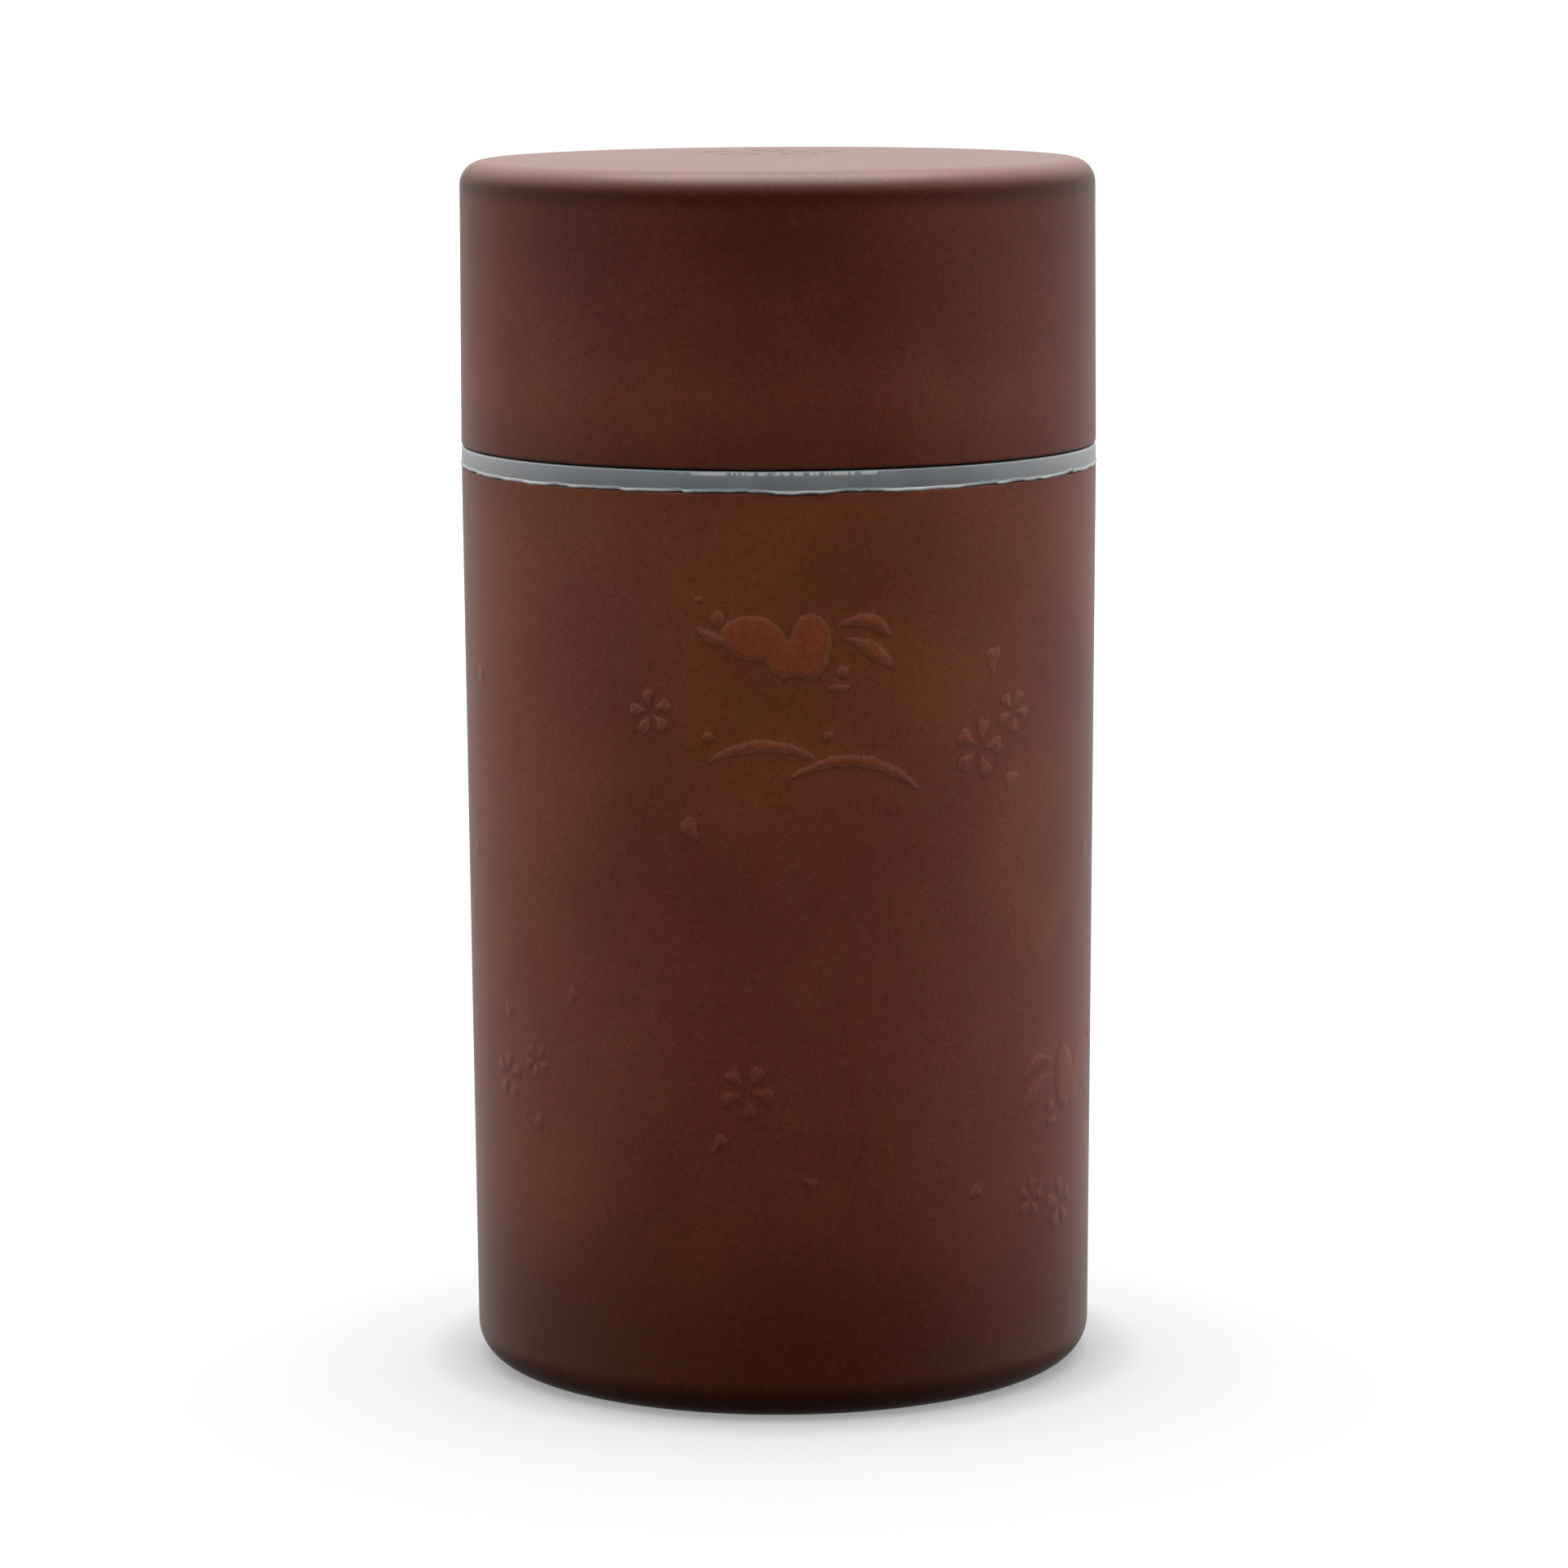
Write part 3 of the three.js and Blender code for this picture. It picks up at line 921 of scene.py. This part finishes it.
def makeSeal():
    sizes = sealSettings
    low, high = (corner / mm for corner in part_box("seal_ring"))
    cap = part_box("cap_shell")[0] / mm
    outer = high.x
    bandTop = cap.z - sizes["bandGap"]
    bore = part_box("cap_liner")[1].x / mm - sizes["linerGap"]
    sleeve = bore + sizes["sleeve"]
    seat = low.z + sizes["seat"]
    lipTop = low.z + sizes["lip"][-1][1]
    ribs = []
    for i in range(sizes["ribs"]):
        middle = bandTop + (high.z - bandTop) * (i + 1) / (sizes["ribs"] + 1)
        ribs += [
            (sleeve, middle - sizes["ribWidth"] / 2),
            (sleeve + sizes["ribOut"], middle),
            (sleeve, middle + sizes["ribWidth"] / 2),
        ]
    outline = [
        (bore, seat),
        *[(outer + out, low.z + rise) for out, rise in sizes["lip"]],
        *[(outer + out, bandTop + rise) for out, rise in sizes["bandEdge"]],
        (sleeve, bandTop),
        *ribs,
        (sleeve, high.z - sizes["sleeveEdge"]),
        (sleeve - sizes["sleeveEdge"], high.z),
        (bore, high.z),
        (bore, seat),
    ]
    piece = turnPiece("sealRing", outline, sizes["segments"], closed=True)

    dice = random.Random(sizes["seed"])
    waves = [(count, dice.uniform(0, sizes["phases"]), 1 / count ** 0.5) for count in sizes["waveCounts"]]
    most = sum(share for _, _, share in waves)
    points = meshPoints(piece)
    angle = np.arctan2(points[:, 0], -points[:, 1])
    ripple = sum(share * np.sin(count * angle + phase) for count, phase, share in waves) / most
    turns = angle / (2 * math.pi)
    nicks = np.mean([(count * turns + dice.random()) % 1 for count in sizes["nickCounts"]], axis=0) - 0.5
    radius = np.hypot(points[:, 0], points[:, 1])
    onLip = (radius > outer - sizes["lipReach"]) & (points[:, 2] < lipTop + sizes["slack"])
    middle, width, depth = sizes["droop"]
    droop = np.exp(-((angle * outer - middle) / width) ** 4) * depth
    points[:, 2] += np.where(onLip, ripple * sizes["wave"] + nicks * sizes["nick"] - droop, 0)
    points[:, :2] *= np.where(onLip, 1 + ripple * sizes["waveOut"] / outer, 1)[:, None]
    setPoints(piece, points)
    finishPiece(piece, "body", ["seal_ring"], sealFinish(), sizes["smooth"])


# cap

capSettings = {
    "segments": 192,
    "sideRows": 4,
    "topInset": 0.2,
    "topEdge": 3.0,
    "topCuts": 12,
    "rimEdge": 0.3,
    "rimCuts": 3,
    "topThickness": 2.4,
    "innerCorner": 2.0,
    "linerFit": 0.15,
    "mouthStep": 0.5,
    "slack": 0.05,
    "flatSlack": 0.01,
    "markCentre": (-1.0, 19.0),
    "markRadius": 9.0,
    "markTurn": 90,
    "markDepth": 0.22,
    "markWidth": 0.50,
    "markEdge": 0.1,
    "markBands": [(-1.6, 9), (-0.8, 9), (-0.4, 9)],
    "colourEdge": 0.15,
    "colourRise": 0.78,  # takes the stored depth from -1 to where the painted hollow shade is strongest
    # only the painted hollow shade, in the mark's cut lines
    "relief": (0.0, 0.0, 0.85),
}


def makeCap():
    sizes = capSettings
    low, high = (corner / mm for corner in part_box("cap_shell"))
    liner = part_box("cap_liner")
    bore = liner[1].x / mm + sizes["linerFit"]
    stepHeight = liner[0].z / mm
    rim, top = low.z, high.z
    shoulder = high.x
    crown = shoulder - sizes["topInset"]
    ceiling = top - sizes["topThickness"]
    mouth = bore + sizes["mouthStep"]
    rows = steps(rim, top, sizes["sideRows"])
    side = [(shoulder + (crown - shoulder) * (z - rim) / (top - rim), z) for z in rows]
    outline = [
        (bore - sizes["innerCorner"], ceiling),
        (bore, ceiling - sizes["innerCorner"]),
        (bore, stepHeight),
        (mouth, stepHeight),
        (mouth, rim),
        (shoulder, rim),
        *side,
    ]
    piece = turnPiece("caddyCap", outline, sizes["segments"])
    roundRings(piece, [(crown, top)], sizes["topEdge"], sizes["topCuts"])
    roundRings(piece, [(shoulder, rim), (mouth, rim)], sizes["rimEdge"], sizes["rimCuts"])

    # the flat top becomes a grid, so that the mark can be cut in it
    flat = crown - sizes["topEdge"]
    editPiece(piece, "FACE")
    selectFaces(piece, lambda middle: middle.z > top - sizes["flatSlack"])
    bpy.ops.mesh.delete(type="FACE")
    bpy.ops.mesh.select_mode(type="EDGE")
    selectEdges(piece, onRing(flat, top, sizes["slack"]))
    bpy.ops.mesh.fill_grid(span=sizes["segments"] // 4)
    bpy.ops.mesh.select_all(action="SELECT")
    bpy.ops.mesh.normals_make_consistent(inside=False)
    stopEditing()

    def cutAt(points):
        x, y, z = points.T
        inside = blossom(x, y, sizes["markCentre"], sizes["markRadius"], sizes["markTurn"])
        return np.where(z > top - sizes["slack"], sizes["markWidth"] - np.abs(inside), outside)

    refine(piece, cutAt, sizes["markBands"])
    depth = cutAt(meshPoints(piece))
    pushOut(piece, smoothStep(depth, -sizes["markEdge"], sizes["markWidth"]), -sizes["markDepth"])
    # painted shade in the cut lines of the mark
    hollowShade = smoothStep(depth, -sizes["colourEdge"], sizes["colourEdge"])
    storeDepth(piece, hollowShade * sizes["colourRise"] - 1)
    coat = brownCoat("capCoat", sizes["relief"])
    finishPiece(piece, "cap", ["cap_shell"], coat)


# inner can, cap liner, stopper and its small pieces

canSettings = {
    "segments": 160,
    "wall": 0.8,
    "corner": 3.0,
    "cornerCuts": 6,
    "beadHeight": 1.2,
    "bead": 1.2,
    "seat": 0.02,
    "rimRoll": 0.35,
    "rimCuts": 4,
    "middle": 12,  # radius of the flat middle of the floor
    "panel": 26,  # radius of the raised panel, its slope and its rise
    "panelSlope": 0.5,
    "panelRise": 0.3,
    "neck": 40,  # length of the bore's upper stretch
}


def makeCan():
    sizes = canSettings
    low, high = (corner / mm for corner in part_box("inner_can"))
    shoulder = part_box("body_shell")[1].z / mm
    outer = high.x - sizes["bead"]
    bore = outer - sizes["wall"]
    beadBottom = shoulder - sizes["beadHeight"]
    beadTop = shoulder - sizes["seat"]
    floor = low.z + sizes["wall"]
    panelTop = floor + sizes["panelRise"]
    outline = [
        (sizes["middle"], low.z),
        (outer, low.z),
        (outer, beadBottom),
        (high.x, beadBottom),
        (high.x, beadTop),
        (outer, beadTop),
        (outer, high.z),
        (bore, high.z),
        (bore, shoulder - sizes["neck"]),
        (bore, floor),
        (sizes["panel"], floor),
        (sizes["panel"] - sizes["panelSlope"], panelTop),
        (sizes["middle"], panelTop),
    ]
    piece = turnPiece("innerCan", outline, sizes["segments"])
    roundRings(piece, [(outer, low.z)], sizes["corner"], sizes["cornerCuts"])
    roundRings(piece, [(bore, floor)], sizes["corner"] - sizes["wall"], sizes["cornerCuts"])
    roundRings(piece, [(outer, high.z), (bore, high.z)], sizes["rimRoll"], sizes["rimCuts"])
    finishPiece(piece, "body", ["inner_can"], metalFinish())


linerSettings = {
    "segments": 160,
    "wall": 0.8,
    "corner": 2.4,
    "cornerCuts": 5,
    "mouthEdge": 0.3,
    "mouthCuts": 3,
    "beadHeight": 5.0,  # above the liner's mouth
    "beadHalf": 0.6,
    "beadDepth": 0.12,
    "panel": 9,  # radius of the raised panel, its slope and its rise
    "panelSlope": 0.4,
    "panelRise": 0.3,
}


def makeLiner():
    sizes = linerSettings
    low, high = (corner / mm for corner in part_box("cap_liner"))
    outer = high.x
    bore = outer - sizes["wall"]
    ceiling = high.z - sizes["wall"]
    bead = low.z + sizes["beadHeight"]
    outline = [
        (sizes["panel"], ceiling + sizes["panelRise"]),
        (sizes["panel"] + sizes["panelSlope"], ceiling),
        (bore, ceiling),
        (bore, bead + sizes["beadHalf"]),
        (bore + sizes["beadDepth"], bead),
        (bore, bead - sizes["beadHalf"]),
        (bore, low.z),
        (outer, low.z),
        (outer, high.z),
        (sizes["panel"], high.z),
    ]
    piece = turnPiece("capLiner", outline, sizes["segments"])
    roundRings(piece, [(outer, high.z)], sizes["corner"], sizes["cornerCuts"])
    roundRings(piece, [(bore, ceiling)], sizes["corner"] - sizes["wall"], sizes["cornerCuts"])
    roundRings(piece, [(bore, low.z)], sizes["mouthEdge"], sizes["mouthCuts"])
    finishPiece(piece, "cap", ["cap_liner"], linerFinish())


stopperSettings = {
    "segments": 160,
    "seat": 0.02,
    "flangeEdge": 0.5,
    "flangeCuts": 4,
    "plugGap": 0.35,
    "plugWall": 1.5,
    "plugCorner": 1.5,
    "plugCuts": 5,
    "dishEdge": 0.4,
    "dishCuts": 3,
    "panel": 1.6,
    "ring": (8, 15.6),  # inner and outer radius of the raised ring's top
    "ringSlope": 0.4,
    "ringRise": 0.3,
    "grooveHeight": 2.4,
    "grooveDepth": 0.7,
    "screwHole": 1.65,
}


def makeStopper():
    sizes = stopperSettings
    low, high = (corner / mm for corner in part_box("stopper"))
    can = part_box("inner_can")[1] / mm
    plug = can.x - canSettings["bead"] - canSettings["wall"] - sizes["plugGap"]
    dish = plug - sizes["plugWall"]
    seat = can.z + sizes["seat"]
    panelTop = low.z + sizes["panel"]
    ringTop = panelTop + sizes["ringRise"]
    ringInner, ringOuter = sizes["ring"]
    grooveMiddle = (low.z + can.z) / 2
    grooveLow = grooveMiddle - sizes["grooveHeight"] / 2
    grooveHigh = grooveMiddle + sizes["grooveHeight"] / 2
    groove = plug - sizes["grooveDepth"]
    outline = [
        (sizes["screwHole"], low.z),
        (plug, low.z),
        (plug, grooveLow),
        (groove, grooveLow),
        (groove, grooveHigh),
        (plug, grooveHigh),
        (plug, seat),
        (high.x, seat),
        (high.x, high.z),
        (dish, high.z),
        (dish, panelTop),
        (ringOuter + sizes["ringSlope"], panelTop),
        (ringOuter, ringTop),
        (ringInner, ringTop),
        (ringInner - sizes["ringSlope"], panelTop),
        (sizes["screwHole"], panelTop),
        (sizes["screwHole"], low.z),
    ]
    piece = turnPiece("stopperPlug", outline, sizes["segments"], closed=True)
    roundRings(piece, [(plug, low.z), (dish, panelTop)], sizes["plugCorner"], sizes["plugCuts"])
    roundRings(piece, [(high.x, high.z)], sizes["flangeEdge"], sizes["flangeCuts"])
    roundRings(piece, [(dish, high.z)], sizes["dishEdge"], sizes["dishCuts"])
    finishPiece(piece, "stopper_set", ["stopper"], milkyFinish())


gasketSettings = {
    "segments": 160,
    "width": 0.93,
    "lip": 0.28,  # how far the lip stands out of the gasket's body
    "flank": 0.04,
    "lipHalf": 0.35,
    "edge": 0.12,
    "edgeCuts": 2,
}


def makeGasket():
    sizes = gasketSettings
    low, high = (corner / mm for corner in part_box("stopper_gasket"))
    middle = (low.z + high.z) / 2
    inner = high.x - sizes["width"]
    outer = high.x - sizes["lip"]
    outline = [
        (inner, low.z),
        (outer, low.z),
        (high.x - sizes["flank"], middle - sizes["lipHalf"]),
        (high.x, middle),
        (high.x - sizes["flank"], middle + sizes["lipHalf"]),
        (outer, high.z),
        (inner, high.z),
        (inner, low.z),
    ]
    piece = turnPiece("stopperGasket", outline, sizes["segments"], closed=True)
    roundRings(piece, [(outer, low.z), (outer, high.z)], sizes["edge"], sizes["edgeCuts"])
    finishPiece(piece, "stopper_set", ["stopper_gasket"], gasketFinish())


knobSettings = {
    "segments": 96,
    "seat": 0.32,
    "foot": 5.0,
    "footHeight": 1.6,
    "footSide": 0.7,
    "footEdge": 0.35,
    "waist": 3.4,
    "waistIn": 0.25,
    "waistEdge": 0.4,
    "headHeight": 3.2,
    "headSlope": 0.4,
    "headEdge": 1.1,
    "headCuts": 5,
    "edgeCuts": 3,
    "crown": 0.6,  # share of the head's radius that is flat
    "hole": 1.65,
    "holeDepth": 5.8,
    "holeEnd": 0.6,  # height of the hole's tapered end, and the share of its radius left there
    "holeShare": 0.5,
    "holeTip": 0.2,
}


def makeKnob():
    sizes = knobSettings
    low, high = (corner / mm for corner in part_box("stopper_knob"))
    foot, waist, hole = sizes["foot"], sizes["waist"], sizes["hole"]
    seat = low.z + sizes["seat"]
    footTop = low.z + sizes["footHeight"]
    footSide = footTop - sizes["footSide"]
    headLow = high.z - sizes["headHeight"]
    sideLow, sideHigh = headLow + sizes["headSlope"], high.z - sizes["headSlope"]
    holeTop = low.z + sizes["holeDepth"]
    outline = [
        (hole * sizes["holeShare"], holeTop - sizes["holeTip"]),
        (hole, holeTop - sizes["holeEnd"]),
        (hole, seat),
        (foot, seat),
        (foot, footSide),
        (waist, footTop),
        (waist - sizes["waistIn"], (footTop + headLow) / 2),
        (waist, headLow),
        (high.x, sideLow),
        (high.x, sideHigh),
        (high.x * sizes["crown"], high.z),
    ]
    piece = turnPiece("stopperKnob", outline, sizes["segments"])
    roundRings(piece, [(high.x, sideLow), (high.x, sideHigh)], sizes["headEdge"], sizes["headCuts"])
    roundRings(piece, [(foot, footSide)], sizes["footEdge"], sizes["edgeCuts"])
    roundRings(piece, [(waist, footTop), (waist, headLow)], sizes["waistEdge"], sizes["edgeCuts"])
    finishPiece(piece, "stopper_set", ["stopper_knob"], brownCoat("knobCoat", None))


screwSettings = {
    "segments": 48,
    "head": 3.5,
    "headFlat": 2.4,
    "headCorner": 0.5,
    "headRise": 0.25,
    "headSide": 0.9,
    "headHeight": 1.6,
    "seat": 0.02,
    "shank": 1.45,
    "tip": 0.6,
    "tipHeight": 0.7,
    "crossLong": 3.6,
    "crossWide": 0.7,
    "crossDeep": 0.9,
    "turns": 8,
    "threadStart": 1.6,  # above the head
    "threadEnd": 0.8,  # below the tip
    "threadDepth": 0.2,
    "threadFlank": (0.1, 0.5, 0.9),  # root, crest and root, as shares of the pitch
    "smooth": 30,
}


def makeScrew():
    sizes = screwSettings
    low, high = (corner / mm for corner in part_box("knob_screw"))
    under = low.z + sizes["headHeight"]
    shank, root = sizes["shank"], sizes["shank"] - sizes["threadDepth"]
    start = under + sizes["threadStart"]
    pitch = (high.z - sizes["threadEnd"] - start) / sizes["turns"]
    rootLow, crest, rootHigh = sizes["threadFlank"]
    threads = []
    for i in range(sizes["turns"]):
        z = start + pitch * i
        threads += [(root, z + pitch * rootLow), (shank, z + pitch * crest), (root, z + pitch * rootHigh)]
    outline = [
        (sizes["headFlat"], low.z),
        (sizes["head"] - sizes["headCorner"], low.z + sizes["headRise"]),
        (sizes["head"], low.z + sizes["headSide"]),
        (sizes["head"], under - sizes["seat"]),
        (shank, under - sizes["seat"]),
        *threads,
        (root, high.z - sizes["tipHeight"]),
        (sizes["tip"], high.z),
    ]
    piece = turnPiece("knobScrew", outline, sizes["segments"])
    bars = [(sizes["crossLong"], sizes["crossWide"]), (sizes["crossWide"], sizes["crossLong"])]
    for long, wide in bars:  # the driver's cross recess
        bpy.ops.object.select_all(action="DESELECT")
        bpy.ops.mesh.primitive_cube_add(size=mm, location=(0, 0, low.z * mm))
        cutter = bpy.context.object
        bpy.ops.transform.resize(value=(long, wide, sizes["crossDeep"] * 2))
        cut = piece.modifiers.new("cross", "BOOLEAN")
        cut.operation = "DIFFERENCE"
        cut.object = cutter
        pick(piece)
        bpy.ops.object.modifier_apply(modifier=cut.name)
        bpy.data.objects.remove(cutter)
    finishPiece(piece, "stopper_set", ["knob_screw"], screwFinish(), sizes["smooth"])


makeCamera()
makeStage()
print("camera, floor and light are in place")
makeBody()
makeSeal()
makeCap()
makeCan()
makeLiner()
makeStopper()
makeGasket()
makeKnob()
makeScrew()
